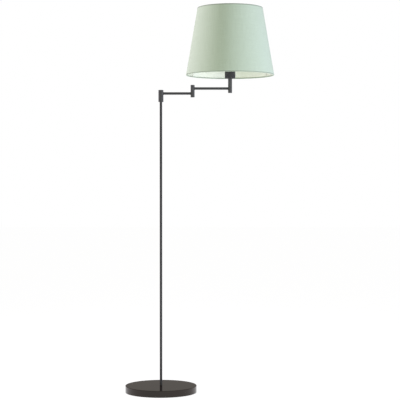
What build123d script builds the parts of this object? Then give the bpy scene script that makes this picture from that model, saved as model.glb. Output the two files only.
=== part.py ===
from build123d import *

import os
from math import atan2, cos, degrees, radians, sin

# Swing-arm floor lamp: a round weighted foot, a three-piece pole, two swivelling arms and a tapered fabric
# shade. Millimetres, +Z up. The origin is on the floor, on the pole's axis. At rest both arms point along +X.

# Foot
FOOT_RADIUS = 142.5
FOOT_HEIGHT = 27.0
COVER_WALL = 1.5
COVER_LIFT = 0.4
PAD_THICKNESS = 3.0
WEIGHT_TOP = 17.0
POCKET_RADIUS = 30.0
INLET_HEIGHT = 8.0

# Tubes, and the threaded pipes that screw into them
TUBE_RADIUS = 5.0
TUBE_BORE = 4.0
PIPE_RADIUS = 3.98
PIPE_BORE = 2.8
FIT_GAP = 0.02
RUNNING_GAP = 0.05
POLE_PIECES = 3

# Heights of the two arms, and how far each reaches
LOWER_ARM_Z = 1193.7
UPPER_ARM_Z = 1213.6
LOWER_ARM_REACH = 126.5
UPPER_ARM_REACH = 149.5
ELBOW_X = LOWER_ARM_REACH
HEAD_X = LOWER_ARM_REACH + UPPER_ARM_REACH

# Swivel at the top of the pole
COLLAR_RADIUS = 10.0
COLLAR_BOTTOM = 1160.0
COLLAR_TOP = 1181.0
POLE_HUB_TOP = 1207.4
POLE_CAVITY = 6.5
POLE_STOP_RADIUS = 7.0
POLE_PIN_RADIUS = 0.9

# Swivel between the arms
ELBOW_RADIUS = 8.0
ELBOW_BOTTOM = 1178.5
ELBOW_SPLIT = 1202.7
ELBOW_TOP = 1227.5
ELBOW_CAVITY = 5.5
ELBOW_STOP_RADIUS = 6.1
ELBOW_PIN_RADIUS = 0.8

# Both swivels
SWING_LIMIT = 165.0
WASHER_THICKNESS = 0.6
SPRING_THICKNESS = 0.8
CAP_THICKNESS = 2.0
STOP_DEPTH = 1.6
EDGE = 0.4

# Lamp post and lampholder
POST_RADIUS = 8.0
POST_BOTTOM = 1196.0
POST_SEAM = 1231.5
HOLDER_BOTTOM = 1253.5
HOLDER_RADIUS = 21.0
HOLDER_SPLIT = 1285.0
HOLDER_TOP = 1326.0
SKIRT_RADIUS = 19.2
RING_RADIUS = 25.0

# Shade
SHADE_BOTTOM = 1266.0
SHADE_TOP = 1535.0
SHADE_BOTTOM_RADIUS = 176.0
SHADE_TOP_RADIUS = 130.0
FABRIC_THICKNESS = 0.5
LINER_THICKNESS = 0.8
LAYER_GAP = 0.1
WIRE_RADIUS = 1.25
HEM_THICKNESS = 0.4
STRUT_ANGLES = (-90, 30, 150)

# Bulb and inner lead
BULB_BOTTOM = 1292.6
BULB_CAP_TOP = 1320.0
BULB_RADIUS = 30.0
LEAD_RADIUS = 1.6

UP = (Align.CENTER, Align.CENTER, Align.MIN)
TAPER = (SHADE_BOTTOM_RADIUS - SHADE_TOP_RADIUS) / (SHADE_TOP - SHADE_BOTTOM)


def turn(x, *outline):
    """Revolves an outline of (radius, height) points about the upright axis at x."""
    with BuildSketch(Plane.XZ) as half:
        with BuildLine():
            Polyline([(x + radius, height) for radius, height in outline], close=True)
        make_face()
    revolve(half.sketch, axis=Axis((x, 0, 0), (0, 0, 1)))


def ring(x, bottom, top, outer, inner):
    """Adds a plain ring between two heights."""
    turn(x, (inner, bottom), (outer, bottom), (outer, top), (inner, top))


def arm_hole(x, height, reach):
    """Cuts the level hole that an arm's tube sits in, from the axis at x outwards by reach."""
    with BuildSketch(Plane.YZ.offset(x)) as section:
        with Locations((0, height)):
            Circle(TUBE_RADIUS + FIT_GAP)
    extrude(section.sketch, amount=reach, mode=Mode.SUBTRACT)


def stop_groove(x, floor, radius, pin_radius):
    """Cuts the blind groove a stop pin runs in, and leaves the land that the pin meets at both limits."""
    half_width = pin_radius + 0.15
    pin_angle = degrees(atan2(pin_radius, radius))
    land_angle = 180 - SWING_LIMIT - pin_angle - 0.5
    with BuildSketch(Plane.XY.offset(floor)) as groove:
        with Locations((x, 0)):
            Circle(radius + half_width)
            Circle(radius - half_width, mode=Mode.SUBTRACT)
        reach = radius + half_width + 1
        edge = reach * sin(radians(land_angle)) / cos(radians(land_angle))
        with BuildLine():
            Polyline((x, 0), (x - reach, edge), (x - reach, -edge), close=True)
        make_face(mode=Mode.SUBTRACT)
    extrude(groove.sketch, amount=STOP_DEPTH, mode=Mode.SUBTRACT)


def lead(*points, radii):
    """Sweeps the inner lead along straight runs joined by tangent arcs."""
    with BuildLine() as route:
        FilletPolyline(*points, radius=radii)
    with BuildSketch(Plane(origin=route.line @ 0, z_dir=route.line % 0)) as section:
        Circle(LEAD_RADIUS)
    sweep(section.sketch, path=route.line)


def shade_radius(height, inset=0.0):
    """Radius of the shade's outer face at a height, less an inset."""
    return SHADE_BOTTOM_RADIUS - TAPER * (height - SHADE_BOTTOM) - inset


def save(piece, name):
    """Labels a finished piece and writes its STEP file."""
    piece.part.label = name
    export_step(piece.part, f"parts/{name}.step")


os.makedirs("parts", exist_ok=True)

# ---------------------------------------------------------------- foot
# Pressed steel cover: a flat disc with a turned-down wall, a hole for the pole's pipe and one for the cord
# inlet.
with BuildPart() as foot_cover:
    turn(
        0,
        (PIPE_RADIUS + 0.2, FOOT_HEIGHT),
        (FOOT_RADIUS, FOOT_HEIGHT),
        (FOOT_RADIUS, COVER_LIFT),
        (FOOT_RADIUS - COVER_WALL, COVER_LIFT),
        (FOOT_RADIUS - COVER_WALL, FOOT_HEIGHT - COVER_WALL),
        (PIPE_RADIUS + 0.2, FOOT_HEIGHT - COVER_WALL),
    )
    top_edges = foot_cover.edges().filter_by(GeomType.CIRCLE).group_by(Axis.Z)[-1]
    fillet(top_edges.sort_by(SortBy.LENGTH)[-1], 1.2)
    with BuildSketch(Plane.XZ.offset(-FOOT_RADIUS - 1)):
        with Locations((0, INLET_HEIGHT)):
            Circle(5.0)
    extrude(amount=6, mode=Mode.SUBTRACT)
save(foot_cover, "foot_cover")

# Cast-iron disc that fills the cover, with a boss and a rim under the cover's top and a pocket for fixings.
weight_radius = FOOT_RADIUS - COVER_WALL - 1.5
weight_boss_top = FOOT_HEIGHT - COVER_WALL - 0.1
groove_top = INLET_HEIGHT + 5.2
earth_x = -21.0
with BuildPart() as foot_weight:
    turn(
        0,
        (PIPE_RADIUS + 0.3, WEIGHT_TOP),
        (POCKET_RADIUS, WEIGHT_TOP),
        (POCKET_RADIUS, PAD_THICKNESS),
        (weight_radius, PAD_THICKNESS),
        (weight_radius, weight_boss_top),
        (weight_radius - 7, weight_boss_top),
        (weight_radius - 9, WEIGHT_TOP),
        (POCKET_RADIUS + 12, WEIGHT_TOP),
        (POCKET_RADIUS + 8, weight_boss_top),
        (PIPE_RADIUS + 0.3, weight_boss_top),
    )
    with BuildSketch(Plane.XY.offset(PAD_THICKNESS)):
        with Locations((0, POCKET_RADIUS - 2)):
            Rectangle(10.4, weight_radius, align=(Align.CENTER, Align.MIN))
    extrude(amount=groove_top - PAD_THICKNESS, mode=Mode.SUBTRACT)
    with Locations((earth_x, 0, WEIGHT_TOP)):
        Cylinder(2.05, 5.4, align=UP, mode=Mode.SUBTRACT)
save(foot_weight, "foot_weight")

# Felt disc glued under the weight; the lamp stands on it.
with BuildPart() as floor_pad:
    Cylinder(weight_radius - 3, PAD_THICKNESS, align=UP)
    chamfer(floor_pad.edges().group_by(Axis.Z)[0], 0.5)
save(floor_pad, "floor_pad")

# Threaded pipe that ties the pole to the foot.
foot_pipe_bottom = 9.5
foot_pipe_top = FOOT_HEIGHT + 22
with BuildPart() as foot_pipe:
    ring(0, foot_pipe_bottom, foot_pipe_top, PIPE_RADIUS, PIPE_BORE)
save(foot_pipe, "foot_pipe")

# Large washer and hex nut that pull the pipe down from inside the pocket.
foot_washer_bottom = WEIGHT_TOP - 2
with BuildPart() as foot_washer:
    ring(0, foot_washer_bottom, WEIGHT_TOP, 13.0, PIPE_RADIUS + 0.2)
save(foot_washer, "foot_washer")

with BuildPart() as foot_nut:
    with BuildSketch(Plane.XY.offset(foot_washer_bottom - 5)):
        RegularPolygon(7.5, 6)
        Circle(PIPE_RADIUS + FIT_GAP, mode=Mode.SUBTRACT)
    extrude(amount=5)
save(foot_nut, "foot_nut")

# Two-pole terminal block where the inner lead starts, and the earth screw beside it.
block_x = 21.5
with BuildPart() as terminal_block:
    with Locations((block_x, 0, PAD_THICKNESS + 0.4)):
        Box(10, 18, 8, align=UP)
    with Locations((block_x, -4.5, PAD_THICKNESS + 0.4), (block_x, 4.5, PAD_THICKNESS + 0.4)):
        Cylinder(2.0, 5, align=UP, mode=Mode.SUBTRACT)
    chamfer(terminal_block.edges().filter_by(Axis.Z).sort_by(Axis.X)[-2:], 1.0)
save(terminal_block, "terminal_block")

with BuildPart() as earth_screw:
    with Locations((earth_x, 0, WEIGHT_TOP - 2.8)):
        Cylinder(4.0, 2.6, align=UP)
        Cylinder(2.0, 7.6, align=UP)
    fillet(earth_screw.edges().group_by(Axis.Z)[0], 0.8)
    with Locations((earth_x, 0, WEIGHT_TOP - 2.8)):
        Box(6.0, 1.0, 1.0, align=UP, mode=Mode.SUBTRACT)
        Box(1.0, 6.0, 1.0, align=UP, mode=Mode.SUBTRACT)
save(earth_screw, "earth_screw")

# Flanged bush in the foot's back wall, where the mains cord goes in.
inlet_plane = Plane(origin=(0, FOOT_RADIUS, INLET_HEIGHT), z_dir=(0, 1, 0))
inlet_inner = 8.0
inlet_flange = 2.2
with BuildPart() as cord_inlet:
    with BuildSketch(inlet_plane.offset(-inlet_inner)):
        Circle(4.9)
    extrude(amount=inlet_inner)
    with BuildSketch(inlet_plane):
        Circle(6.8)
    extrude(amount=inlet_flange)
    fillet(cord_inlet.edges().group_by(Axis.Y)[-1], 1.0)
    with BuildSketch(inlet_plane.offset(-inlet_inner)):
        Circle(3.4)
    extrude(amount=inlet_inner + inlet_flange, mode=Mode.SUBTRACT)
save(cord_inlet, "cord_inlet")

# ---------------------------------------------------------------- pole
# Three equal steel tubes, butted together over threaded joiners. The top one ends inside the collar.
pole_seat = COLLAR_TOP - 6
pole_length = (pole_seat - FOOT_HEIGHT) / POLE_PIECES
pole_names = ("pole_bottom_tube", "pole_middle_tube", "pole_top_tube")
for number, name in enumerate(pole_names):
    bottom = FOOT_HEIGHT + number * pole_length
    with BuildPart() as pole_tube:
        ring(0, bottom, bottom + pole_length, TUBE_RADIUS, TUBE_BORE)
        ends = pole_tube.edges().filter_by(GeomType.CIRCLE).group_by(SortBy.RADIUS)[-1]
        chamfer(ends, 0.25)
    save(pole_tube, name)

joiner_half = 20.0
for number, name in enumerate(("pole_lower_joiner", "pole_upper_joiner")):
    middle = FOOT_HEIGHT + (number + 1) * pole_length
    with BuildPart() as joiner:
        ring(0, middle - joiner_half, middle + joiner_half, PIPE_RADIUS, PIPE_BORE)
    save(joiner, name)

# ---------------------------------------------------------------- pole swivel, fixed half
# Collar pressed on the pole's top, held by a grub screw at the back, with a hole for the stop pin.
grub_z = COLLAR_BOTTOM + 7
grub_radius = 1.5
with BuildPart() as pole_collar:
    turn(
        0,
        (TUBE_RADIUS + FIT_GAP, COLLAR_BOTTOM),
        (COLLAR_RADIUS - EDGE, COLLAR_BOTTOM),
        (COLLAR_RADIUS, COLLAR_BOTTOM + EDGE),
        (COLLAR_RADIUS, COLLAR_TOP),
        (PIPE_RADIUS + FIT_GAP, COLLAR_TOP),
        (PIPE_RADIUS + FIT_GAP, pole_seat),
        (TUBE_RADIUS + FIT_GAP, pole_seat),
    )
    with BuildSketch(Plane.XZ.offset(-COLLAR_RADIUS - 1)):
        with Locations((0, grub_z)):
            Circle(grub_radius)
    extrude(amount=COLLAR_RADIUS + 1, mode=Mode.SUBTRACT)
    with Locations((POLE_STOP_RADIUS, 0, COLLAR_TOP - 4)):
        Cylinder(POLE_PIN_RADIUS, 4, align=UP, mode=Mode.SUBTRACT)
save(pole_collar, "pole_collar")

with BuildPart() as collar_screw:
    with BuildSketch(Plane.XZ.offset(-COLLAR_RADIUS + 0.3)):
        with Locations((0, grub_z)):
            Circle(grub_radius - FIT_GAP)
    extrude(amount=COLLAR_RADIUS - 0.3 - TUBE_RADIUS - RUNNING_GAP)
    with BuildSketch(Plane.XZ.offset(-COLLAR_RADIUS + 0.3)):
        with Locations((0, grub_z)):
            RegularPolygon(0.75, 6)
    extrude(amount=1.5, mode=Mode.SUBTRACT)
save(collar_screw, "collar_screw")

pole_hub_floor = COLLAR_TOP + WASHER_THICKNESS
pole_hub_seat = pole_hub_floor + 5
pole_nut_bottom = pole_hub_seat + RUNNING_GAP + SPRING_THICKNESS
pole_nut_top = pole_nut_bottom + 2.2
with BuildPart() as pole_spindle:
    ring(0, COLLAR_BOTTOM, pole_nut_top + 0.2, PIPE_RADIUS, PIPE_BORE)
save(pole_spindle, "pole_spindle")


def friction_washer(x, bottom, outer, pin_at, pin_radius):
    """Thin nylon washer with a hole for the stop pin, which keeps it still."""
    ring(x, bottom, bottom + WASHER_THICKNESS, outer, PIPE_RADIUS + 0.12)
    with Locations((x + pin_at, 0, bottom)):
        Cylinder(pin_radius + 0.1, WASHER_THICKNESS, align=UP, mode=Mode.SUBTRACT)


def slotted_nut(x, bottom, top, outer):
    """Round nut with four key slots across its top."""
    ring(x, bottom, top, outer, PIPE_RADIUS + FIT_GAP)
    with BuildSketch(Plane.XY.offset(top)) as slots:
        with Locations((x, 0)):
            Rectangle(2 * outer + 2, 1.4)
            Rectangle(1.4, 2 * outer + 2)
    extrude(slots.sketch, amount=-0.9, mode=Mode.SUBTRACT)


with BuildPart() as pole_washer:
    friction_washer(0, COLLAR_TOP, COLLAR_RADIUS - 0.3, POLE_STOP_RADIUS, POLE_PIN_RADIUS)
save(pole_washer, "pole_washer")

with BuildPart() as pole_stop_pin:
    with Locations((POLE_STOP_RADIUS, 0, COLLAR_TOP - 3.9)):
        Cylinder(POLE_PIN_RADIUS - FIT_GAP, 3.9 + WASHER_THICKNESS + STOP_DEPTH - 0.3, align=UP)
save(pole_stop_pin, "pole_stop_pin")

with BuildPart() as pole_spring:
    ring(0, pole_hub_seat + RUNNING_GAP, pole_nut_bottom, POLE_CAVITY - 0.6, PIPE_RADIUS + 0.12)
save(pole_spring, "pole_spring_washer")

with BuildPart() as pole_nut:
    slotted_nut(0, pole_nut_bottom, pole_nut_top, POLE_CAVITY - 0.6)
save(pole_nut, "pole_spindle_nut")


# ---------------------------------------------------------------- lower arm
def hub(x, floor, seat, rim, outer, cavity, hole):
    """Turned cup: a thick floor with a hole for the spindle, and a thin wall round the cavity."""
    turn(
        x,
        (hole, floor),
        (outer, floor),
        (outer, rim),
        (cavity, rim),
        (cavity, seat),
        (hole, seat),
    )


def cap(x, inner_face, outer_face, outer, cavity):
    """Press-in cap that closes a hub: a thin disc with a bevelled edge, and a short plug behind it."""
    out = 1 if outer_face > inner_face else -1
    turn(
        x,
        (0, outer_face),
        (outer - EDGE, outer_face),
        (outer, outer_face - out * EDGE),
        (outer, inner_face),
        (cavity - RUNNING_GAP, inner_face),
        (cavity - RUNNING_GAP, inner_face - out * 2.2),
        (0, inner_face - out * 2.2),
    )


def arm_tube(start, end, height):
    """Level steel tube between two hubs."""
    with BuildSketch(Plane.YZ.offset(start)) as section:
        with Locations((0, height)):
            Circle(TUBE_RADIUS)
            Circle(TUBE_BORE, mode=Mode.SUBTRACT)
    extrude(section.sketch, amount=end - start)


pole_cap_seat = POLE_HUB_TOP - CAP_THICKNESS
with BuildPart() as pole_hub:
    hub(
        0,
        pole_hub_floor,
        pole_hub_seat,
        pole_cap_seat,
        COLLAR_RADIUS,
        POLE_CAVITY,
        PIPE_RADIUS + RUNNING_GAP,
    )
    stop_groove(0, pole_hub_floor, POLE_STOP_RADIUS, POLE_PIN_RADIUS)
    arm_hole(0, LOWER_ARM_Z, COLLAR_RADIUS + 1)
save(pole_hub, "pole_hub")

with BuildPart() as pole_hub_cap:
    cap(0, pole_cap_seat, POLE_HUB_TOP, COLLAR_RADIUS, POLE_CAVITY)
save(pole_hub_cap, "pole_hub_cap")

tube_inset = 0.1
lower_tube_start = POLE_CAVITY + tube_inset
lower_tube_end = ELBOW_X - ELBOW_CAVITY - tube_inset
with BuildPart() as lower_arm_tube:
    arm_tube(lower_tube_start, lower_tube_end, LOWER_ARM_Z)
save(lower_arm_tube, "lower_arm_tube")

# The elbow's lower cup is upside down: its thick floor is at the top, and its cap is underneath.
elbow_cap_seat = ELBOW_BOTTOM + CAP_THICKNESS
elbow_lower_seat = ELBOW_SPLIT - 4.2
with BuildPart() as elbow_lower_hub:
    hub(
        ELBOW_X,
        ELBOW_SPLIT,
        elbow_lower_seat,
        elbow_cap_seat,
        ELBOW_RADIUS,
        ELBOW_CAVITY,
        PIPE_RADIUS + FIT_GAP,
    )
    arm_hole(ELBOW_X, LOWER_ARM_Z, -ELBOW_RADIUS - 1)
    with Locations((ELBOW_X + ELBOW_STOP_RADIUS, 0, ELBOW_SPLIT - 3.5)):
        Cylinder(ELBOW_PIN_RADIUS, 3.5, align=UP, mode=Mode.SUBTRACT)
save(elbow_lower_hub, "elbow_lower_hub")

with BuildPart() as elbow_bottom_cap:
    cap(ELBOW_X, elbow_cap_seat, ELBOW_BOTTOM, ELBOW_RADIUS, ELBOW_CAVITY)
save(elbow_bottom_cap, "elbow_bottom_cap")

elbow_upper_floor = ELBOW_SPLIT + WASHER_THICKNESS
elbow_upper_seat = elbow_upper_floor + 4.2
elbow_nut_bottom = elbow_upper_seat + RUNNING_GAP + SPRING_THICKNESS
elbow_nut_top = elbow_nut_bottom + 2.2
with BuildPart() as elbow_spindle:
    turn(
        ELBOW_X,
        (PIPE_BORE, elbow_lower_seat - 2),
        (ELBOW_CAVITY - 0.2, elbow_lower_seat - 2),
        (ELBOW_CAVITY - 0.2, elbow_lower_seat),
        (PIPE_RADIUS, elbow_lower_seat),
        (PIPE_RADIUS, elbow_nut_top + 0.2),
        (PIPE_BORE, elbow_nut_top + 0.2),
    )
save(elbow_spindle, "elbow_spindle")

with BuildPart() as elbow_washer:
    friction_washer(ELBOW_X, ELBOW_SPLIT, ELBOW_RADIUS - 0.2, ELBOW_STOP_RADIUS, ELBOW_PIN_RADIUS)
save(elbow_washer, "elbow_washer")

with BuildPart() as elbow_stop_pin:
    with Locations((ELBOW_X + ELBOW_STOP_RADIUS, 0, ELBOW_SPLIT - 3.4)):
        Cylinder(ELBOW_PIN_RADIUS - FIT_GAP, 3.4 + WASHER_THICKNESS + STOP_DEPTH - 0.3, align=UP)
save(elbow_stop_pin, "elbow_stop_pin")

with BuildPart() as elbow_spring:
    ring(ELBOW_X, elbow_upper_seat + RUNNING_GAP, elbow_nut_bottom, ELBOW_CAVITY - 0.3, PIPE_RADIUS + 0.12)
save(elbow_spring, "elbow_spring_washer")

with BuildPart() as elbow_nut:
    slotted_nut(ELBOW_X, elbow_nut_bottom, elbow_nut_top, ELBOW_CAVITY - 0.3)
save(elbow_nut, "elbow_spindle_nut")

# ---------------------------------------------------------------- upper arm
elbow_top_seat = ELBOW_TOP - CAP_THICKNESS
with BuildPart() as elbow_upper_hub:
    hub(
        ELBOW_X,
        elbow_upper_floor,
        elbow_upper_seat,
        elbow_top_seat,
        ELBOW_RADIUS,
        ELBOW_CAVITY,
        PIPE_RADIUS + RUNNING_GAP,
    )
    stop_groove(ELBOW_X, elbow_upper_floor, ELBOW_STOP_RADIUS, ELBOW_PIN_RADIUS)
    arm_hole(ELBOW_X, UPPER_ARM_Z, ELBOW_RADIUS + 1)
save(elbow_upper_hub, "elbow_upper_hub")

with BuildPart() as elbow_top_cap:
    cap(ELBOW_X, elbow_top_seat, ELBOW_TOP, ELBOW_RADIUS, ELBOW_CAVITY)
save(elbow_top_cap, "elbow_top_cap")

upper_tube_start = ELBOW_X + ELBOW_CAVITY + tube_inset
upper_tube_end = HEAD_X - ELBOW_CAVITY - tube_inset
with BuildPart() as upper_arm_tube:
    arm_tube(upper_tube_start, upper_tube_end, UPPER_ARM_Z)
save(upper_arm_tube, "upper_arm_tube")

# Upright post at the arm's end: a cup upside down, closed by a cap underneath.
post_cap_seat = POST_BOTTOM + CAP_THICKNESS
post_seat = POST_SEAM - 6
with BuildPart() as lamp_post:
    hub(HEAD_X, POST_SEAM, post_seat, post_cap_seat, POST_RADIUS, ELBOW_CAVITY, PIPE_RADIUS + FIT_GAP)
    top_edges = lamp_post.edges().filter_by(GeomType.CIRCLE).group_by(Axis.Z)[-1]
    chamfer(top_edges.sort_by(SortBy.LENGTH)[-1], EDGE)
    arm_hole(HEAD_X, UPPER_ARM_Z, -POST_RADIUS - 1)
save(lamp_post, "lamp_post")

with BuildPart() as post_cap:
    cap(HEAD_X, post_cap_seat, POST_BOTTOM, POST_RADIUS, ELBOW_CAVITY)
save(post_cap, "post_cap")

# Sleeve that carries the post's line on up to the lampholder.
with BuildPart() as post_sleeve:
    ring(HEAD_X, POST_SEAM, HOLDER_BOTTOM, POST_RADIUS, PIPE_RADIUS + FIT_GAP)
    bottom_edges = post_sleeve.edges().filter_by(GeomType.CIRCLE).group_by(Axis.Z)[0]
    chamfer(bottom_edges.sort_by(SortBy.LENGTH)[-1], EDGE)
save(post_sleeve, "post_sleeve")

# Threaded pipe that ties the post, the sleeve and the lampholder together.
boss_top = HOLDER_BOTTOM + 11
with BuildPart() as post_pipe:
    ring(HEAD_X, post_seat - 1, boss_top - 1, PIPE_RADIUS, PIPE_BORE)
save(post_pipe, "post_pipe")

# ---------------------------------------------------------------- lampholder
# Moulded cup with a threaded boss in its floor.
holder_wall = 2.0
holder_floor = HOLDER_BOTTOM + 3
with BuildPart() as holder_cup:
    turn(
        HEAD_X,
        (PIPE_RADIUS + FIT_GAP, HOLDER_BOTTOM),
        (HOLDER_RADIUS, HOLDER_BOTTOM),
        (HOLDER_RADIUS, HOLDER_SPLIT),
        (HOLDER_RADIUS - holder_wall, HOLDER_SPLIT),
        (HOLDER_RADIUS - holder_wall, holder_floor),
        (8.0, holder_floor),
        (8.0, boss_top),
        (PIPE_RADIUS + FIT_GAP, boss_top),
    )
    bottom_edges = holder_cup.edges().filter_by(GeomType.CIRCLE).group_by(Axis.Z)[0]
    fillet(bottom_edges.sort_by(SortBy.LENGTH)[-1], 1.2)
save(holder_cup, "holder_cup")

# Skirt that screws into the cup and carries the shade rings. Shallow rings stand in for its outside thread.
skirt_plug = 6.0
skirt_bore = 15.6
thread_pitch = 2.8
thread_turns = 11
thread_depth = 0.7
skirt_outline = [
    (skirt_bore, HOLDER_SPLIT - skirt_plug),
    (HOLDER_RADIUS - holder_wall - 0.1, HOLDER_SPLIT - skirt_plug),
    (HOLDER_RADIUS - holder_wall - 0.1, HOLDER_SPLIT),
]
for turn_number in range(thread_turns):
    start = HOLDER_SPLIT + 0.5 + turn_number * thread_pitch
    skirt_outline += [
        (SKIRT_RADIUS - thread_depth, start),
        (SKIRT_RADIUS, start + 0.35 * thread_pitch),
        (SKIRT_RADIUS, start + 0.65 * thread_pitch),
    ]
skirt_outline += [
    (SKIRT_RADIUS - thread_depth, HOLDER_SPLIT + 0.5 + thread_turns * thread_pitch),
    (SKIRT_RADIUS - thread_depth, HOLDER_TOP),
    (skirt_bore - 1.4, HOLDER_TOP),
    (skirt_bore - 1.4, HOLDER_TOP - 1.5),
    (skirt_bore, HOLDER_TOP - 3),
]
with BuildPart() as holder_skirt:
    turn(HEAD_X, *skirt_outline)
save(holder_skirt, "holder_skirt")

# Ceramic contact block, standing in the cup on two feet.
block_bottom = HOLDER_SPLIT - 5
block_top = HOLDER_SPLIT + 5
with BuildPart() as contact_block:
    with Locations((HEAD_X, 0, block_bottom)):
        Cylinder(skirt_bore - 0.2, block_top - block_bottom, align=UP)
    with Locations((HEAD_X - 11, 0, block_bottom), (HEAD_X + 11, 0, block_bottom)):
        Box(4, 12, block_bottom - holder_floor, align=(Align.CENTER, Align.CENTER, Align.MAX))
save(contact_block, "contact_block")

# Brass parts: the sprung centre tongue and the threaded shell that the bulb screws into.
with BuildPart() as centre_contact:
    with Locations((HEAD_X, 0, block_top)):
        Box(14, 5, 0.6, align=UP)
        Cylinder(2.2, 2.4, align=UP)
    fillet(centre_contact.edges().group_by(Axis.Z)[-1], 0.8)
save(centre_contact, "centre_contact")

shell_bottom = block_top + 1.0
shell_top = HOLDER_TOP - 8
with BuildPart() as thread_shell:
    ring(HEAD_X, shell_bottom, shell_top, 14.6, 13.9)
save(thread_shell, "thread_shell")

# ---------------------------------------------------------------- shade
# Two ribbed rings clamp the carrier's plate between them on the skirt.
lower_ring_bottom = HOLDER_SPLIT + 0.2
plate_bottom = lower_ring_bottom + 3.5
plate_top = plate_bottom + 1.5
upper_ring_top = plate_top + 5
ring_ribs = 28
for name, bottom, top in (
    ("shade_ring_lower", lower_ring_bottom, plate_bottom),
    ("shade_ring_upper", plate_top, upper_ring_top),
):
    with BuildPart() as shade_ring:
        with BuildSketch(Plane.XY.offset(bottom)):
            with Locations((HEAD_X, 0)):
                Circle(RING_RADIUS)
                Circle(SKIRT_RADIUS + 0.1, mode=Mode.SUBTRACT)
                with PolarLocations(RING_RADIUS + 0.4, ring_ribs):
                    Circle(1.1, mode=Mode.SUBTRACT)
        extrude(amount=top - bottom)
    save(shade_ring, name)

# Wire rings in the shade's two rims.
hem_radius = WIRE_RADIUS + RUNNING_GAP + HEM_THICKNESS
skin_depth = FABRIC_THICKNESS + LAYER_GAP + LINER_THICKNESS
rim_inset = skin_depth + LAYER_GAP + hem_radius + 0.1
bottom_wire_z = SHADE_BOTTOM + hem_radius
top_wire_z = SHADE_TOP - hem_radius
bottom_wire_radius = shade_radius(bottom_wire_z, rim_inset)
top_wire_radius = shade_radius(top_wire_z, rim_inset)
for name, height, radius in (
    ("shade_bottom_wire", bottom_wire_z, bottom_wire_radius),
    ("shade_top_wire", top_wire_z, top_wire_radius),
):
    with BuildPart() as wire:
        with Locations((HEAD_X, 0, height)):
            Torus(radius, WIRE_RADIUS)
    save(wire, name)

# Carrier: a flat ring on the lampholder, and three bent wires that stand on the bottom wire ring.
plate_radius = 28.0
strut_z = (plate_bottom + plate_top) / 2
strut_foot = bottom_wire_z + WIRE_RADIUS + FIT_GAP
strut_bend = 7.0
with BuildPart() as shade_carrier:
    ring(HEAD_X, plate_bottom, plate_top, plate_radius, SKIRT_RADIUS + 0.8)
    for angle in STRUT_ANGLES:
        outward = Vector(1, 0, 0).rotate(Axis.Z, angle)
        hub_point = Vector(HEAD_X, 0, strut_z) + outward * (plate_radius - 1.5)
        bend_point = Vector(HEAD_X, 0, strut_z) + outward * (bottom_wire_radius - 3.5)
        foot_point = Vector(HEAD_X, 0, strut_foot) + outward * bottom_wire_radius
        with BuildLine() as strut_line:
            FilletPolyline(hub_point, bend_point, foot_point, radius=strut_bend)
        with BuildSketch(Plane(origin=hub_point, z_dir=outward)):
            Circle(WIRE_RADIUS)
        sweep(path=strut_line.line)
save(shade_carrier, "shade_carrier")


def cone_band(bottom, top, inset, thickness):
    """Adds a tapered band that follows the shade's face, set in from it."""
    turn(
        HEAD_X,
        (shade_radius(bottom, inset), bottom),
        (shade_radius(top, inset), top),
        (shade_radius(top, inset + thickness), top),
        (shade_radius(bottom, inset + thickness), bottom),
    )


# Fabric face, and the stiff white liner that it is bonded to.
with BuildPart() as shade_fabric:
    cone_band(SHADE_BOTTOM, SHADE_TOP, 0, FABRIC_THICKNESS)
save(shade_fabric, "shade_fabric")

with BuildPart() as shade_liner:
    cone_band(SHADE_BOTTOM + 0.6, SHADE_TOP - 0.6, FABRIC_THICKNESS + LAYER_GAP, LINER_THICKNESS)
save(shade_liner, "shade_liner")

# Hems: the fabric rolled round each wire ring, with its edge tucked in behind the wire. The bottom one is
# slit where the carrier's wires come down to the ring.
for name, height, radius, slit in (
    ("shade_bottom_hem", bottom_wire_z, bottom_wire_radius, True),
    ("shade_top_hem", top_wire_z, top_wire_radius, False),
):
    with BuildPart() as hem:
        with Locations((HEAD_X, 0, height)):
            Torus(radius, hem_radius)
            Torus(radius, WIRE_RADIUS + RUNNING_GAP, mode=Mode.SUBTRACT)
        if slit:
            with Locations((HEAD_X, 0, height)):
                with PolarLocations(radius, len(STRUT_ANGLES), start_angle=STRUT_ANGLES[0]):
                    Box(7, 5, 24, align=(Align.CENTER, Align.CENTER, Align.MIN), mode=Mode.SUBTRACT)
    save(hem, name)

# ---------------------------------------------------------------- bulb
# Screw cap with rounded rings for its thread, and the solder contact underneath.
cap_radius = 13.1
cap_outline = [(0, BULB_BOTTOM), (4.5, BULB_BOTTOM), (5.0, BULB_BOTTOM + 1.2), (11.0, BULB_BOTTOM + 4.0)]
cap_pitch = 3.6
for turn_number in range(5):
    start = BULB_BOTTOM + 5 + turn_number * cap_pitch
    cap_outline += [
        (cap_radius - 0.9, start),
        (cap_radius - 0.15, start + 0.3 * cap_pitch),
        (cap_radius - 0.15, start + 0.6 * cap_pitch),
    ]
cap_outline += [(cap_radius - 0.9, BULB_CAP_TOP - 3.5), (cap_radius, BULB_CAP_TOP), (0, BULB_CAP_TOP)]
with BuildPart() as bulb_cap:
    turn(HEAD_X, *cap_outline)
save(bulb_cap, "bulb_cap")

# Moulded body that flares out to the dome.
dome_z = BULB_BOTTOM + 77
body_wall = 1.5
with BuildPart() as bulb_body:
    with BuildSketch(Plane.XZ) as body_half:
        with BuildLine():
            flare = Spline(
                (HEAD_X + 13.6, BULB_CAP_TOP),
                (HEAD_X + 16.5, BULB_CAP_TOP + 14),
                (HEAD_X + 28.6, dome_z),
                tangents=[(0, 1), (0.25, 1)],
            )
            Polyline(flare @ 1, (HEAD_X, dome_z), (HEAD_X, BULB_CAP_TOP), flare @ 0)
        make_face()
    revolve(axis=Axis((HEAD_X, 0, 0), (0, 0, 1)))
    offset(amount=-body_wall, openings=bulb_body.faces().sort_by(Axis.Z)[-1])
save(bulb_body, "bulb_body")

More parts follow.
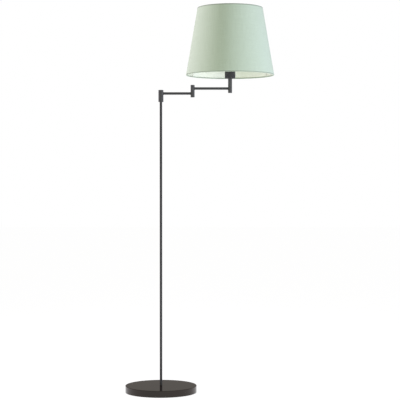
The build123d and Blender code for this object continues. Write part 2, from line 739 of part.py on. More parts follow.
# Opal dome: rather more than half a ball, standing on the body.
with BuildPart() as bulb_dome:
    with Locations((HEAD_X, 0, dome_z + 5)):
        Sphere(BULB_RADIUS)
        Sphere(BULB_RADIUS - 1.2, mode=Mode.SUBTRACT)
    split(bisect_by=Plane.XY.offset(dome_z + FIT_GAP), keep=Keep.TOP)
save(bulb_dome, "bulb_dome")

# ---------------------------------------------------------------- inner lead
# One thin lead from the terminal block to the lampholder, in a length for each moving piece. The lengths meet
# on the swivels' axes, so that turning an arm only twists it.
lead_gap = 0.15
pole_lead_top = pole_nut_top + 0.3
with BuildPart() as pole_lead:
    lead(
        (block_x - 5.1, 0, PAD_THICKNESS + 2.4),
        (0, 0, PAD_THICKNESS + 2.4),
        (0, 0, pole_lead_top - lead_gap),
        radii=4.4,
    )
save(pole_lead, "pole_lead")

elbow_lead_meet = ELBOW_SPLIT + WASHER_THICKNESS / 2
with BuildPart() as lower_arm_lead:
    lead(
        (0, 0, pole_lead_top + lead_gap),
        (0, 0, LOWER_ARM_Z + 0.8),
        (ELBOW_X, 0, LOWER_ARM_Z - 1.2),
        (ELBOW_X, 0, elbow_lead_meet - lead_gap),
        radii=(3.0, 4.3),
    )
save(lower_arm_lead, "lower_arm_lead")

with BuildPart() as upper_arm_lead:
    lead(
        (ELBOW_X, 0, elbow_lead_meet + lead_gap),
        (ELBOW_X, 0, UPPER_ARM_Z + 2.2),
        (HEAD_X, 0, UPPER_ARM_Z),
        (HEAD_X, 0, block_bottom - lead_gap),
        radii=(4.2, 4.6),
    )
save(upper_arm_lead, "upper_arm_lead")
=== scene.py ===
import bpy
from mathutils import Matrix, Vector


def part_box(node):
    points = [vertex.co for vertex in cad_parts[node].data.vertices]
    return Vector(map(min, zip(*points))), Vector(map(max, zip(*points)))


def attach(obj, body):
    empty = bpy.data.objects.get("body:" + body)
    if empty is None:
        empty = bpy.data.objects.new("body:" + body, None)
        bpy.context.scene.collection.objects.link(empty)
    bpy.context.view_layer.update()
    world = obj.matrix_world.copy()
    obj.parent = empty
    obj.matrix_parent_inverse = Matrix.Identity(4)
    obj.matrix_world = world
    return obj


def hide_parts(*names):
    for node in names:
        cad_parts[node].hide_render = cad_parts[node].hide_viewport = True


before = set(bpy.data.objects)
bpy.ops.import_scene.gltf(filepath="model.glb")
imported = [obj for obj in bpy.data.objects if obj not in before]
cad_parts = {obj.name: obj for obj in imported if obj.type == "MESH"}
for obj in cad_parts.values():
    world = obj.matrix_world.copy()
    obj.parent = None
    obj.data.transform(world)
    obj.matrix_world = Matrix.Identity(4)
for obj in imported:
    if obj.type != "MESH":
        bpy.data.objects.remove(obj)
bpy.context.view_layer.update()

from math import cos, hypot, pi, radians, sin, sqrt

import bpy
from mathutils import Vector

# Swing-arm floor lamp, round its CAD frame. Metres, +Z up, origin on the floor under the pole, both arms
# along +X.

# ---------------------------------------------------------------- camera
# A long lens just over five metres in front of the lamp, at the height of the pole's middle, tipped
# slightly down.
camera_distance = 5.03
camera_x = 0.156
camera_height = 0.827
camera_tip = radians(0.666)
bpy.ops.object.camera_add(
    location=(camera_x, -camera_distance, camera_height),
    rotation=(pi / 2 - camera_tip, 0, 0),
)
camera = bpy.context.object
camera.data.lens = 113.3
camera.data.sensor_width = 36.0
camera.data.clip_end = 60.0
bpy.context.scene.camera = camera

# ---------------------------------------------------------------- felt pad
# Wool felt 3 mm thick, punched out as a disc and glued under the casting, so that the foot doesn't mark the
# floor. Its cut edge is soft and slightly fuzzy, and its fibres lie in every direction.


def linear(code):
    """An sRGB colour such as "2b2a29" as linear RGBA."""
    channels = [int(code[start : start + 2], 16) / 255 for start in (0, 2, 4)]
    return (*[c / 12.92 if c <= 0.04045 else ((c + 0.055) / 1.055) ** 2.4 for c in channels], 1.0)


def add_node(tree, kind, inputs=None, **settings):
    """Adds a node. Inputs are values or the sockets that feed them, by the input's name or number."""
    node = tree.nodes.new(kind)
    for key, value in settings.items():
        setattr(node, key, value)
    for key, value in (inputs or {}).items():
        if isinstance(value, bpy.types.NodeSocket):
            tree.links.new(value, node.inputs[key])
        else:
            node.inputs[key].default_value = value
    return node


def new_material(name, **finish):
    """A material with one Principled shader, whose own sockets hold what is the same all over."""
    material = bpy.data.materials.new(name)
    material.use_nodes = True
    tree = material.node_tree
    shader = tree.nodes["Principled BSDF"]
    for key, value in finish.items():
        shader.inputs[key.replace("_", " ")].default_value = value
    return material, tree, shader


def mottle(tree, shader, place, size, dark, light, detail=3.0):
    """Colours the shader between two tones in patches of about the given size in metres."""
    patches = add_node(
        tree, "ShaderNodeTexNoise", {"Vector": place, "Scale": 1 / size, "Detail": detail, "Roughness": 0.55}
    )
    tones = add_node(
        tree,
        "ShaderNodeMix",
        {"Factor": patches.outputs["Fac"], "A": linear(dark), "B": linear(light)},
        data_type="RGBA",
    )
    tree.links.new(colour_out(tones), shader.inputs["Base Color"])


def colour_out(mix):
    """The colour output of a Mix node, which has one for each kind of data under the same name."""
    return next(socket for socket in mix.outputs if socket.type == "RGBA")


def grain(tree, shader, place, size, height, detail=2.0):
    """Raises a fine random grain of the given size and height in metres."""
    bumps = add_node(tree, "ShaderNodeTexNoise", {"Vector": place, "Scale": 1 / size, "Detail": detail})
    raised = add_node(
        tree, "ShaderNodeBump", {"Height": bumps.outputs["Fac"], "Distance": height, "Strength": 1.0}
    )
    tree.links.new(raised.outputs["Normal"], shader.inputs["Normal"])


def object_place(tree):
    """The socket that gives a point's place in the lamp."""
    return add_node(tree, "ShaderNodeTexCoord").outputs["Object"]


def start_piece():
    """Deselects everything, so that the next primitive is shaped alone."""
    bpy.ops.object.select_all(action="DESELECT")


def select_part(piece, kind, wanted):
    """In edit mode, selects only the piece's faces or edges that pass the test."""
    bpy.ops.mesh.select_all(action="DESELECT")
    bpy.ops.mesh.select_mode(type=kind)
    bpy.ops.object.mode_set(mode="OBJECT")
    mesh = piece.data
    elements = mesh.polygons if kind == "FACE" else mesh.edges
    for element in elements:
        element.select = wanted(mesh, element)
    bpy.ops.object.mode_set(mode="EDIT")


def settle(piece, name, material, body):
    """Names a finished piece, puts its place into its mesh, and fixes it to its body."""
    piece.name = name
    piece.data.name = name
    bpy.ops.object.select_all(action="DESELECT")
    piece.select_set(True)
    bpy.context.view_layer.objects.active = piece
    bpy.ops.object.transform_apply(location=True, rotation=True, scale=True)
    piece.data.materials.clear()
    piece.data.materials.append(material)
    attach(piece, body)


# Pressed wool felt: matt, nearly black, with a faint halo of loose fibres that catches light at the edge.
felt_material, tree, shader = new_material(
    "pressed_wool_felt", Roughness=0.95, Sheen_Weight=0.35, Sheen_Roughness=0.6, Specular_IOR_Level=0.15
)
place = object_place(tree)
mottle(tree, shader, place, 0.006, "191817", "2a2826", detail=6.0)
grain(tree, shader, place, 0.0009, 0.0004, detail=5.0)

felt_low, felt_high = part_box("floor_pad")
felt_radius = (felt_high.x - felt_low.x) / 2
felt_thickness = felt_high.z - felt_low.z
felt_edge = 0.0007
felt_rings = (0.002, 0.03, 0.04, 0.04)
start_piece()
bpy.ops.mesh.primitive_cylinder_add(
    vertices=160, radius=felt_radius, depth=felt_thickness, location=(0, 0, felt_thickness / 2)
)
felt_pad = bpy.context.object
bpy.ops.object.mode_set(mode="EDIT")


def edge_is_level(mesh, edge):
    """True for an edge whose two ends are at one height."""
    first, second = (mesh.vertices[index].co.z for index in edge.vertices)
    return abs(first - second) < 1e-6


select_part(felt_pad, "EDGE", edge_is_level)
bpy.ops.mesh.bevel(offset=felt_edge, segments=3, affect="EDGES")
select_part(felt_pad, "FACE", lambda mesh, face: abs(face.normal.z) > 0.99)
for ring_width in felt_rings:
    bpy.ops.mesh.inset(thickness=ring_width)
bpy.ops.object.mode_set(mode="OBJECT")
bpy.ops.object.shade_smooth_by_angle(angle=radians(35))
settle(felt_pad, "felt_pad", felt_material, "stand")
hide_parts("floor_pad")

# ---------------------------------------------------------------- foot: weight and fixings
# A cast-iron disc with its pocket for the nut, washer, terminal block and earth screw, and the bush for the
# cord. The nut and washer clamp it to the foot of the pole.


def vary_roughness(tree, shader, place, size, low, high):
    """Lets the roughness wander between two values in patches of the given size in metres."""
    patches = add_node(tree, "ShaderNodeTexNoise", {"Vector": place, "Scale": 1 / size, "Detail": 3.0})
    spread = add_node(
        tree,
        "ShaderNodeMapRange",
        {"Value": patches.outputs["Fac"], "From Min": 0.3, "From Max": 0.7, "To Min": low, "To Max": high},
    )
    tree.links.new(spread.outputs["Result"], shader.inputs["Roughness"])


def finish_nodes(material, *names):
    """Gives CAD nodes their finish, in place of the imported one."""
    for name in names:
        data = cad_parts[name].data
        data.materials.clear()
        data.materials.append(material)


# Grey iron from a sand mould: dark, dull and slightly pitted, with the sand's grain in its skin.
iron_material, tree, shader = new_material("sand_cast_iron", Metallic=0.85)
place = object_place(tree)
mottle(tree, shader, place, 0.012, "3a3937", "55534f", detail=5.0)
grain(tree, shader, place, 0.0014, 0.00012, detail=4.0)
vary_roughness(tree, shader, place, 0.02, 0.55, 0.8)
finish_nodes(iron_material, "foot_weight")

# Bright zinc plate over turned steel: pale and slightly cloudy, with the tool's fine rings under the plate.
zinc_material, tree, shader = new_material("zinc_plated_steel", Metallic=1.0)
place = object_place(tree)
mottle(tree, shader, place, 0.004, "a9acb0", "c8cacb")
grain(tree, shader, place, 0.0004, 0.000008)
vary_roughness(tree, shader, place, 0.005, 0.28, 0.45)
finish_nodes(
    zinc_material,
    "foot_pipe",
    "foot_washer",
    "foot_nut",
    "earth_screw",
    "pole_lower_joiner",
    "pole_upper_joiner",
    "collar_screw",
    "post_pipe",
)

# Moulded polyamide: milky white and faintly waxy.
polyamide_material, tree, shader = new_material(
    "moulded_polyamide", Subsurface_Weight=0.1, Subsurface_Scale=0.002
)
place = object_place(tree)
mottle(tree, shader, place, 0.008, "dddcd3", "e6e5de")
vary_roughness(tree, shader, place, 0.006, 0.38, 0.5)
finish_nodes(polyamide_material, "terminal_block")

# Black nylon bush: satin, with a fine spark texture from its mould.
nylon_bush_material, tree, shader = new_material("black_moulded_nylon", Specular_IOR_Level=0.4)
place = object_place(tree)
mottle(tree, shader, place, 0.003, "141414", "1c1c1b")
grain(tree, shader, place, 0.0003, 0.00002)
vary_roughness(tree, shader, place, 0.004, 0.42, 0.55)
finish_nodes(nylon_bush_material, "cord_inlet")

# ---------------------------------------------------------------- foot: cover
# Deep-drawn steel sheet 1.5 mm thick, sprayed and stoved. The wall and the top meet in a small rounded edge.
# Stoving enamel: brown-black and glossy like a hard liquid film, with a very shallow orange peel.
enamel_material, tree, shader = new_material("stoved_brown_black_enamel", IOR=1.42)
place = object_place(tree)
mottle(tree, shader, place, 0.05, "201712", "261c16")
grain(tree, shader, place, 0.0025, 0.000004)
vary_roughness(tree, shader, place, 0.03, 0.02, 0.05)
finish_nodes(enamel_material, "foot_cover")

# ---------------------------------------------------------------- pole, arms, hubs and post
# Steel tube 10 mm across and turned hubs, all in one graphite powder coat. A faint joint line shows where
# two lengths of pole meet, because the ends are chamfered.
# Powder coat, fine texture: a satin film of fused grains, dark grey, a shade lighter where it is thin.
coat_material, tree, shader = new_material("graphite_powder_coat", Specular_IOR_Level=0.22)
place = object_place(tree)
mottle(tree, shader, place, 0.018, "393a3b", "424344", detail=5.0)
grain(tree, shader, place, 0.0009, 0.000012, detail=3.0)
vary_roughness(tree, shader, place, 0.012, 0.42, 0.54)
finish_nodes(
    coat_material,
    "pole_bottom_tube",
    "pole_middle_tube",
    "pole_top_tube",
    "lower_arm_tube",
    "upper_arm_tube",
)

# The turned hubs and the post are heavier and their coat fuses a little smoother. It is also painted a little
# lighter than the tubes' coat, a painted light for the light they catch.
hub_coat_painted_lighter, tree, shader = new_material("graphite_powder_coat_painted_lighter_on_hubs", Specular_IOR_Level=0.3)
place = object_place(tree)
mottle(tree, shader, place, 0.018, "464748", "4f5051", detail=5.0)
grain(tree, shader, place, 0.0009, 0.00002, detail=3.0)
vary_roughness(tree, shader, place, 0.012, 0.36, 0.48)
finish_nodes(
    hub_coat_painted_lighter,
    "pole_collar",
    "pole_hub",
    "pole_hub_cap",
    "elbow_lower_hub",
    "elbow_bottom_cap",
    "elbow_upper_hub",
    "elbow_top_cap",
    "lamp_post",
    "post_cap",
    "post_sleeve",
)

# Brazed seams: each arm's ends are brazed into their hubs, and the coat flows over a small bead that
# follows the saddle where the level tube meets the upright hub.
bead_radius = 0.0009
arm_low, arm_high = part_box("lower_arm_tube")
tube_radius = (arm_high.z - arm_low.z) / 2


def half_width(name):
    """Half of a CAD node's width."""
    low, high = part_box(name)
    return (high.y - low.y) / 2


def middle(name):
    """The middle of a CAD node's box."""
    low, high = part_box(name)
    return (low + high) / 2


for seam_name, hub_name, arm_name, side, seam_body in (
    ("pole_hub_seam", "pole_hub", "lower_arm_tube", 1, "lower_arm"),
    ("elbow_lower_seam", "elbow_lower_hub", "lower_arm_tube", -1, "lower_arm"),
    ("elbow_upper_seam", "elbow_upper_hub", "upper_arm_tube", 1, "upper_arm"),
    ("post_seam", "lamp_post", "upper_arm_tube", -1, "upper_arm"),
):
    hub_x = middle(hub_name).x
    hub_radius = half_width(hub_name)
    arm_z = middle(arm_name).z
    start_piece()
    bpy.ops.mesh.primitive_torus_add(
        major_radius=tube_radius,
        minor_radius=bead_radius,
        major_segments=48,
        minor_segments=12,
        rotation=(0, pi / 2, 0),
        location=(hub_x, 0, arm_z),
    )
    seam = bpy.context.object
    bpy.ops.object.transform_apply(location=True, rotation=True, scale=True)
    for vertex in seam.data.vertices:
        vertex.co.x += side * sqrt(hub_radius**2 - min(abs(vertex.co.y), hub_radius) ** 2)
    bpy.ops.object.shade_smooth()
    settle(seam, seam_name, coat_material, seam_body)

# ---------------------------------------------------------------- swivels
# Inside each hub: a hollow steel spindle, a nylon washer, a blued spring washer, a slotted nut and a stop
# pin. They are turned and plated like the other fixings.
finish_nodes(
    zinc_material,
    "pole_spindle",
    "pole_spindle_nut",
    "pole_stop_pin",
    "elbow_spindle",
    "elbow_spindle_nut",
    "elbow_stop_pin",
)

# Black nylon, punched from sheet: waxy, and rubbed duller where it turns. It shows as a fine line in each
# knuckle.
washer_material, tree, shader = new_material("black_nylon_sheet", Specular_IOR_Level=0.4)
place = object_place(tree)
mottle(tree, shader, place, 0.003, "1b1b1b", "242424")
vary_roughness(tree, shader, place, 0.002, 0.45, 0.65)
finish_nodes(washer_material, "pole_washer", "elbow_washer")

# Blued spring steel: dark grey-blue, with straw tints where the heat differed.
spring_material, tree, shader = new_material("blued_spring_steel", Metallic=1.0)
place = object_place(tree)
mottle(tree, shader, place, 0.003, "4b5160", "6b6253")
vary_roughness(tree, shader, place, 0.002, 0.3, 0.45)
finish_nodes(spring_material, "pole_spring_washer", "elbow_spring_washer")

# Inner lead: soft black PVC round two cores, smooth and slightly greasy to the light.
lead_material, tree, shader = new_material("soft_black_pvc", Specular_IOR_Level=0.45)
place = object_place(tree)
mottle(tree, shader, place, 0.01, "161616", "1f1e1e")
vary_roughness(tree, shader, place, 0.008, 0.35, 0.5)
finish_nodes(lead_material, "pole_lead", "lower_arm_lead", "upper_arm_lead")

# ---------------------------------------------------------------- lampholder
# A moulded cup and a threaded skirt, with two ribbed rings that clamp the shade's carrier between them.
# Black thermoplastic: dull satin, with shallow flow marks.
holder_material, tree, shader = new_material("black_thermoplastic", Specular_IOR_Level=0.25)
place = object_place(tree)
mottle(tree, shader, place, 0.015, "333436", "3b3c3e")
grain(tree, shader, place, 0.0005, 0.000015)
vary_roughness(tree, shader, place, 0.01, 0.5, 0.64)
finish_nodes(holder_material, "holder_cup", "holder_skirt", "shade_ring_lower", "shade_ring_upper")

# Glazed steatite: cream ceramic under a thin clear glaze.
steatite_material, tree, shader = new_material("glazed_steatite", Coat_Weight=0.6, Coat_Roughness=0.08)
place = object_place(tree)
mottle(tree, shader, place, 0.005, "ddd6c2", "e9e4d5")
vary_roughness(tree, shader, place, 0.004, 0.3, 0.4)
finish_nodes(steatite_material, "contact_block")

# Rolled brass: yellow, with light tarnish in clouds.
brass_material, tree, shader = new_material("rolled_brass", Metallic=1.0)
place = object_place(tree)
mottle(tree, shader, place, 0.006, "a9854a", "cfac69")
vary_roughness(tree, shader, place, 0.004, 0.22, 0.4)
finish_nodes(brass_material, "centre_contact", "thread_shell")

# ---------------------------------------------------------------- shade: carrier and wire rings
# A stamped ring with three bent wires, and a wire ring in each rim, all dipped in white epoxy.
# Epoxy-coated wire: white and smooth, slightly thicker and glossier in the bends.
wire_material, tree, shader = new_material("white_epoxy_coat", IOR=1.5)
place = object_place(tree)
mottle(tree, shader, place, 0.01, "e2e2dd", "ecece8")
vary_roughness(tree, shader, place, 0.01, 0.25, 0.4)
finish_nodes(wire_material, "shade_carrier", "shade_bottom_wire", "shade_top_wire")

# ---------------------------------------------------------------- shade: liner
# Styrene sheet 0.8 mm thick, rolled into a cone; the fabric is bonded to its outside. Its ends overlap at
# the back under a strip of film.
# Calendered white styrene: matt, very slightly mottled by the roll, and tinted pale green, a painted
# light for the light that comes through the green cloth.
liner_painted_green_material, tree, shader = new_material("white_styrene_sheet_painted_green", Specular_IOR_Level=0.3)
place = object_place(tree)
mottle(tree, shader, place, 0.02, "e4ebdc", "eaf1e4")
grain(tree, shader, place, 0.0012, 0.00002)
vary_roughness(tree, shader, place, 0.02, 0.55, 0.7)
finish_nodes(liner_painted_green_material, "shade_liner")

# The shade's own measures, from its wire rings, with its taper and its distance from the axis at each height.
shade_low, shade_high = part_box("shade_fabric")
shade_x = middle("shade_fabric").x
shade_bottom = shade_low.z
shade_top = shade_high.z
shade_middle = (shade_bottom + shade_top) / 2
bottom_wire = Vector((half_width("shade_bottom_wire"), middle("shade_bottom_wire").z))
top_wire = Vector((half_width("shade_top_wire"), middle("shade_top_wire").z))
wire_low, wire_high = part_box("shade_top_wire")
wire_radius = (wire_high.z - wire_low.z) / 2
taper = (bottom_wire.x - top_wire.x) / (top_wire.y - bottom_wire.y)
bottom_radius = (shade_high.x - shade_low.x) / 2


def face_radius(height, inset=0.0):
    """Radius of the shade's outside at a height, less an inset."""
    return bottom_radius - taper * (height - shade_bottom) - inset


def round_point(radius, height, angle):
    """A point on the shade, by its radius, height and angle about the shade's axis."""
    return (shade_x + radius * cos(angle), radius * sin(angle), height)


def sheet_mesh(name, rows):
    """A smooth mesh from equal rows of points, joined into quads."""
    width = len(rows[0])
    faces = [
        (row * width + col, row * width + col + 1, (row + 1) * width + col + 1, (row + 1) * width + col)
        for row in range(len(rows) - 1)
        for col in range(width - 1)
    ]
    mesh = bpy.data.meshes.new(name)
    mesh.from_pydata([point for row in rows for point in row], [], faces)
    mesh.polygons.foreach_set("use_smooth", [True] * len(faces))
    piece = bpy.data.objects.new(name, mesh)
    bpy.context.collection.objects.link(piece)
    return piece


def thicken(piece, thickness):
    """Gives a sheet its thickness, half to each side, with closed edges."""
    bpy.ops.object.select_all(action="DESELECT")
    piece.select_set(True)
    bpy.context.view_layer.objects.active = piece
    modifier = piece.modifiers.new("thickness", "SOLIDIFY")
    modifier.thickness = thickness
    modifier.offset = 0.0
    bpy.ops.object.modifier_apply(modifier=modifier.name)


back = pi / 2
film_width = 0.014
film_thickness = 0.0002
liner_depth = 0.0014
film_inset = liner_depth + 0.00012
film_ends = 0.004
film_length = shade_top - shade_bottom - 2 * film_ends
start_piece()
bpy.ops.mesh.primitive_grid_add(x_subdivisions=4, y_subdivisions=60, size=1)
film_strip = bpy.context.object
for vertex in film_strip.data.vertices:
    height = shade_middle + film_length * vertex.co.y
    film_radius = face_radius(height, film_inset)
    vertex.co = round_point(film_radius, height, back + film_width * vertex.co.x / film_radius)
bpy.ops.object.shade_smooth()
thicken(film_strip, film_thickness)

# Clear film with its adhesive: glossier and a touch warmer than the styrene, and pale green like it, a
# painted light for the light that comes through the cloth.
film_material, tree, shader = new_material("clear_adhesive_film_painted_green", Specular_IOR_Level=0.5, Coat_Weight=0.3)
place = object_place(tree)
mottle(tree, shader, place, 0.012, "e1e8d9", "e7eee1")
vary_roughness(tree, shader, place, 0.006, 0.2, 0.32)
settle(film_strip, "liner_film_strip", film_material, "upper_arm")

# ---------------------------------------------------------------- shade: fabric cover
# One piece of mint polycotton, cut flat as a sector of a ring and bonded round the liner, with its ends
# lapped at the back. Each edge is rolled round its wire ring and tucked in behind it.
cloth_thickness = 0.00045
cloth_inset = cloth_thickness / 2
glue_gap = 0.00005
loop_radius = wire_radius + glue_gap + cloth_thickness / 2
corner_radius = 0.0011
corner_turn = 80
loop_start = 95
loop_end = 300
bottom_wire_centre = bottom_wire.x - wire_radius
top_wire_centre = top_wire.x - wire_radius


def arc(centre_r, centre_z, radius, start, end, steps):
    """Points along an arc in the shade's section, from one angle to another in degrees."""
    angles = [radians(start + (end - start) * step / steps) for step in range(steps + 1)]
    return [(centre_r + radius * cos(a), centre_z + radius * sin(a)) for a in angles]


def rim_section(wire_r, wire_z, up):
    """The rolled rim, from the outer face round the wire to the tucked end. Up is 1 on top and -1 below."""
    rim_z = wire_z + up * loop_radius
    corner_z = rim_z - up * corner_radius
    corner_r = face_radius(corner_z, cloth_inset) - corner_radius
    corner = arc(corner_r, corner_z, corner_radius, 0, up * corner_turn, 4)
    loop = arc(wire_r, wire_z, loop_radius, up * loop_start, up * loop_end, 14)
    return corner + loop


bottom_rim = rim_section(bottom_wire_centre, bottom_wire.y, -1)
top_rim = rim_section(top_wire_centre, top_wire.y, 1)
face_rows = 44
face_bottom = bottom_rim[0][1]
face_top = top_rim[0][1]
face_step = (face_top - face_bottom) / face_rows
face = [
    (face_radius(face_bottom + face_step * row, cloth_inset), face_bottom + face_step * row)
    for row in range(1, face_rows)
]
section = bottom_rim[::-1] + face + top_rim
face_middle = len(bottom_rim) + face_rows // 2

# How far along the cloth each point of the section is, from the cone's apex when the cloth lies flat.
cone_sine = taper / sqrt(1 + taper**2)
along = [0.0] * len(section)
along[face_middle] = section[face_middle][0] / cone_sine
for index in range(face_middle + 1, len(section)):
    along[index] = along[index - 1] - hypot(
        section[index][0] - section[index - 1][0], section[index][1] - section[index - 1][1]
    )
for index in range(face_middle - 1, -1, -1):
    along[index] = along[index + 1] + hypot(
        section[index][0] - section[index + 1][0], section[index][1] - section[index + 1][1]
    )

columns = 192
lap_columns = 2
lap_lift = cloth_thickness + 0.00008
cloth_rows = []
for index, (section_r, section_z) in enumerate(section):
    before = section[max(index - 1, 0)]
    after = section[min(index + 1, len(section) - 1)]
    run = Vector((after[0] - before[0], after[1] - before[1])).normalized()
    outward = Vector((run.y, -run.x))
    cloth_row = []
    for column in range(columns + lap_columns + 1):
        angle = back + 2 * pi * (column - lap_columns / 2 - 0.5) / columns
        lift = lap_lift * min(max(column - columns + 1, 0), 1)
        point_r = section_r + outward.x * lift
        point_z = section_z + outward.y * lift
        cloth_row.append(round_point(point_r, point_z, angle))
    cloth_rows.append(cloth_row)
shade_cover = sheet_mesh("shade_cover", cloth_rows)

# The weave follows the flat cut, so each corner of the cloth keeps its place on the flat piece, in metres.
flat_map = shade_cover.data.uv_layers.new(name="flat_cut")
row_width = columns + lap_columns + 1
for loop in shade_cover.data.loops:
    row, column = divmod(loop.vertex_index, row_width)
    flat_angle = 2 * pi * (column - row_width / 2) / columns * cone_sine
    flat_map.data[loop.index].uv = (along[row] * sin(flat_angle), along[row] * cos(flat_angle))

# The bottom rim's cloth is slit where the carrier's three wires come down to the wire ring.
strut_angles = [radians(angle) for angle in (-90, 30, 150)]
slit_half = 0.0032
slit_rows = 8
bpy.context.view_layer.objects.active = shade_cover
bpy.ops.object.mode_set(mode="EDIT")


def in_slit(mesh, face):
    """True for the faces of the bottom rim's roll that a strut comes down through."""
    inner = face.vertices[0] // row_width < slit_rows
    offset = Vector((face.center.x - shade_x, face.center.y))
    near = any(
        offset.dot(Vector((cos(a), sin(a)))) > 0
        and abs(offset.dot(Vector((-sin(a), cos(a))))) < slit_half
        for a in strut_angles
    )
    return inner and near


select_part(shade_cover, "FACE", in_slit)
bpy.ops.mesh.delete(type="FACE")
bpy.ops.object.mode_set(mode="OBJECT")
thicken(shade_cover, cloth_thickness)

# Mint polycotton, plain weave with slubs: matt, soft at the edges of the form, each thread a slightly
# different tone. Threads are 0.55 mm apart. The slubs are drawn 1.5 mm wide, several times the real ones,
# so that they still show.
thread_pitch = 0.00055
thread_height = 0.00008
slub_width = 0.0015
slub_height = 0.0001
warp_slub_length = 0.07
weft_slub_length = 0.06
cloth_material, tree, shader = new_material(
    "mint_polycotton_weave_with_painted_rim_shade", Roughness=0.92, Sheen_Weight=0.12, Sheen_Roughness=0.5, Specular_IOR_Level=0.2
)
flat_place = add_node(tree, "ShaderNodeUVMap", uv_map="flat_cut").outputs["UV"]
apart = add_node(tree, "ShaderNodeSeparateXYZ", {"Vector": flat_place})
waves = []
for axis in ("X", "Y"):
    phase = add_node(
        tree, "ShaderNodeMath", {0: apart.outputs[axis], 1: pi / thread_pitch}, operation="MULTIPLY"
    )
    waves.append(add_node(tree, "ShaderNodeMath", {0: phase.outputs[0]}, operation="SINE"))
crossing = add_node(
    tree, "ShaderNodeMath", {0: waves[0].outputs[0], 1: waves[1].outputs[0]}, operation="MULTIPLY"
)
warp_over = add_node(tree, "ShaderNodeMath", {0: crossing.outputs[0], 1: 0.0}, operation="GREATER_THAN")
warp_height = add_node(tree, "ShaderNodeMath", {0: waves[0].outputs[0]}, operation="ABSOLUTE")
weft_height = add_node(tree, "ShaderNodeMath", {0: waves[1].outputs[0]}, operation="ABSOLUTE")
weave = add_node(
    tree,
    "ShaderNodeMix",
    {"Factor": warp_over.outputs[0], "A": weft_height.outputs[0], "B": warp_height.outputs[0]},
    data_type="FLOAT",
)
slub_tones = []
for stretch in ((1 / slub_width, 1 / warp_slub_length, 1), (1 / weft_slub_length, 1 / slub_width, 1)):
    stretched = add_node(tree, "ShaderNodeMapping", {"Vector": flat_place, "Scale": stretch})
    slub_tones.append(
        add_node(tree, "ShaderNodeTexNoise", {"Vector": stretched.outputs[0], "Scale": 1.0, "Detail": 2.0})
    )
slubs = add_node(
    tree,
    "ShaderNodeMath",
    {0: slub_tones[0].outputs["Fac"], 1: slub_tones[1].outputs["Fac"]},
    operation="ADD",
)
slub_share = add_node(
    tree, "ShaderNodeMapRange", {"Value": slubs.outputs[0], "From Min": 0.75, "From Max": 1.25}
)
cloth_tone = add_node(
    tree,
    "ShaderNodeMix",
    {"Factor": slub_share.outputs[0], "A": linear("b9cbb6"), "B": linear("c2d4c0")},
    data_type="RGBA",
)
# Between the threads the cloth is painted darker, a painted shade in the weave's hollows.
thread_shade = add_node(
    tree, "ShaderNodeMapRange", {"Value": weave.outputs[0], "To Min": 0.86, "To Max": 1.0}
)
cloth_colour = add_node(
    tree,
    "ShaderNodeMix",
    {"Factor": 1.0, "A": colour_out(cloth_tone), "B": thread_shade.outputs[0]},
    data_type="RGBA",
    blend_type="MULTIPLY",
)
# Beside each rim's roll a thin darker band is painted into the cloth, a painted shade where the rolled
# edge turns away from the light. On the roll itself the painted shade is lifted part of the way again.
rim_shade_width = 0.0046
rim_shade_tone = 0.55
roll_lift_factor = 1.6
shade_half = (shade_top - shade_bottom) / 2
height_here = add_node(
    tree, "ShaderNodeSeparateXYZ", {"Vector": add_node(tree, "ShaderNodeTexCoord").outputs["Object"]}
).outputs["Z"]
from_middle = add_node(
    tree, "ShaderNodeMath", {0: height_here, 1: shade_middle}, operation="SUBTRACT"
)
from_middle = add_node(tree, "ShaderNodeMath", {0: from_middle.outputs[0]}, operation="ABSOLUTE")
fold_shade = add_node(
    tree,
    "ShaderNodeMapRange",
    {
        "Value": from_middle.outputs[0],
        "From Min": shade_half - rim_shade_width,
        "From Max": shade_half - 0.6 * rim_shade_width,
        "To Min": 1.0,
        "To Max": rim_shade_tone,
    },
)
roll_shade_lift = add_node(
    tree,
    "ShaderNodeMapRange",
    {
        "Value": from_middle.outputs[0],
        "From Min": shade_half - 0.35 * rim_shade_width,
        "From Max": shade_half - 0.1 * rim_shade_width,
        "To Min": 1.0,
        "To Max": roll_lift_factor,
    },
)
fold_shade = add_node(
    tree, "ShaderNodeMath", {0: fold_shade.outputs[0], 1: roll_shade_lift.outputs[0]}, operation="MULTIPLY"
)
cloth_colour = add_node(
    tree,
    "ShaderNodeMix",
    {"Factor": 1.0, "A": colour_out(cloth_colour), "B": fold_shade.outputs[0]},
    data_type="RGBA",
    blend_type="MULTIPLY",
)
tree.links.new(colour_out(cloth_colour), shader.inputs["Base Color"])
weave_bump = add_node(
    tree, "ShaderNodeBump", {"Height": weave.outputs[0], "Distance": thread_height, "Strength": 0.6}
)
slub_bump = add_node(
    tree,
    "ShaderNodeBump",
    {"Height": slubs.outputs[0], "Distance": slub_height, "Strength": 0.5, "Normal": weave_bump.outputs[0]},
)
tree.links.new(slub_bump.outputs[0], shader.inputs["Normal"])
settle(shade_cover, "shade_cover", cloth_material, "upper_arm")
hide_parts("shade_fabric", "shade_bottom_hem", "shade_top_hem")

# ---------------------------------------------------------------- bulb
# A screw-cap LED bulb. Its rolled aluminium cap is crimped on to the white moulded body, and the opal dome is
# welded to the body's rim.
# Bright rolled aluminium, brushed round by the thread roller.
cap_material, tree, shader = new_material("rolled_aluminium", Metallic=1.0)
place = object_place(tree)
mottle(tree, shader, place, 0.003, "b9bbbd", "d6d7d8")
vary_roughness(tree, shader, place, 0.002, 0.22, 0.36)
finish_nodes(cap_material, "bulb_cap")

# White moulded body: matt and even.
body_material, tree, shader = new_material("white_bulb_body", Specular_IOR_Level=0.4)
place = object_place(tree)
mottle(tree, shader, place, 0.01, "e4e5e3", "edeeec")
vary_roughness(tree, shader, place, 0.008, 0.42, 0.55)
finish_nodes(body_material, "bulb_body")

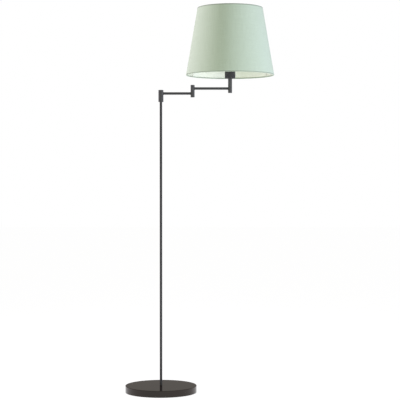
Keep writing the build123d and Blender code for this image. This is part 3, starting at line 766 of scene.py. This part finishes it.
# Opal polycarbonate dome: light sinks in a little and comes back milky.
opal_material, tree, shader = new_material(
    "opal_polycarbonate", Subsurface_Weight=0.35, Subsurface_Scale=0.004, IOR=1.58
)
place = object_place(tree)
mottle(tree, shader, place, 0.02, "eeeeea", "f4f4f1")
vary_roughness(tree, shader, place, 0.015, 0.2, 0.3)
finish_nodes(opal_material, "bulb_dome")

# ---------------------------------------------------------------- floor
# A plain white floor that glows evenly, like a light table, so that the lamp throws only a faint soft shadow.
floor_width = 40
floor_material, tree, shader = new_material(
    "white_light_table",
    Roughness=0.9,
    Specular_IOR_Level=0.0,
    Emission_Color=(1, 1, 1, 1),
    Emission_Strength=0.97,
)
place = object_place(tree)
mottle(tree, shader, place, 1.2, "595959", "5c5c5c")
start_piece()
bpy.ops.mesh.primitive_plane_add(size=floor_width, location=(0, 0, 0))
floor = bpy.context.object
floor.name = "floor"
floor.data.materials.append(floor_material)

# ---------------------------------------------------------------- studio light
# A tall soft box at each side of the shade, the left one a little behind it, and a weak yellowish one in
# front. None of them is mirrored in the lamp. The room round it is dim and warm, with a white backdrop.


def soft_box(name, bearing, distance, height, width, tall, watts, colour):
    """An area light on a bearing round the shade, in degrees, where 0 is in front and 90 is to the right."""
    angle = radians(bearing)
    place = Vector((shade_x + distance * sin(angle), -distance * cos(angle), height))
    direction = Vector((shade_x, 0, height)) - place
    turn = direction.to_track_quat("-Z", "Y").to_euler()
    bpy.ops.object.light_add(type="AREA", location=place, rotation=turn)
    light = bpy.context.object
    light.name = name
    light.visible_camera = False
    light.visible_glossy = False
    light.data.shape = "RECTANGLE"
    light.data.size = width
    light.data.size_y = tall
    light.data.energy = watts
    light.data.color = colour


box_distance = 2.6
box_width = 0.8
box_tall = 1.3
soft_box("left_box", -100, box_distance, 1.45, box_width, box_tall, 66, (1.0, 0.85, 0.97))
soft_box("right_box", 70, box_distance, 1.0, box_width, box_tall, 61, (0.74, 0.74, 1.0))
soft_box("front_box", 10, box_distance, 0.8, box_width, box_tall, 14, (1.0, 1.0, 0.7))

world = bpy.data.worlds.new("studio")
bpy.context.scene.world = world
world.use_nodes = True
tree = world.node_tree
tree.nodes.clear()
seen = add_node(tree, "ShaderNodeLightPath").outputs["Is Camera Ray"]
backdrop = add_node(tree, "ShaderNodeBackground", {"Color": (1, 1, 1, 1), "Strength": 1.0})
surround = add_node(tree, "ShaderNodeBackground", {"Color": (1, 0.945, 0.87, 1), "Strength": 0.225})
either = add_node(
    tree, "ShaderNodeMixShader", {"Fac": seen, 1: surround.outputs[0], 2: backdrop.outputs[0]}
)
add_node(tree, "ShaderNodeOutputWorld", {"Surface": either.outputs[0]})
bpy.context.scene.view_settings.view_transform = "Standard"
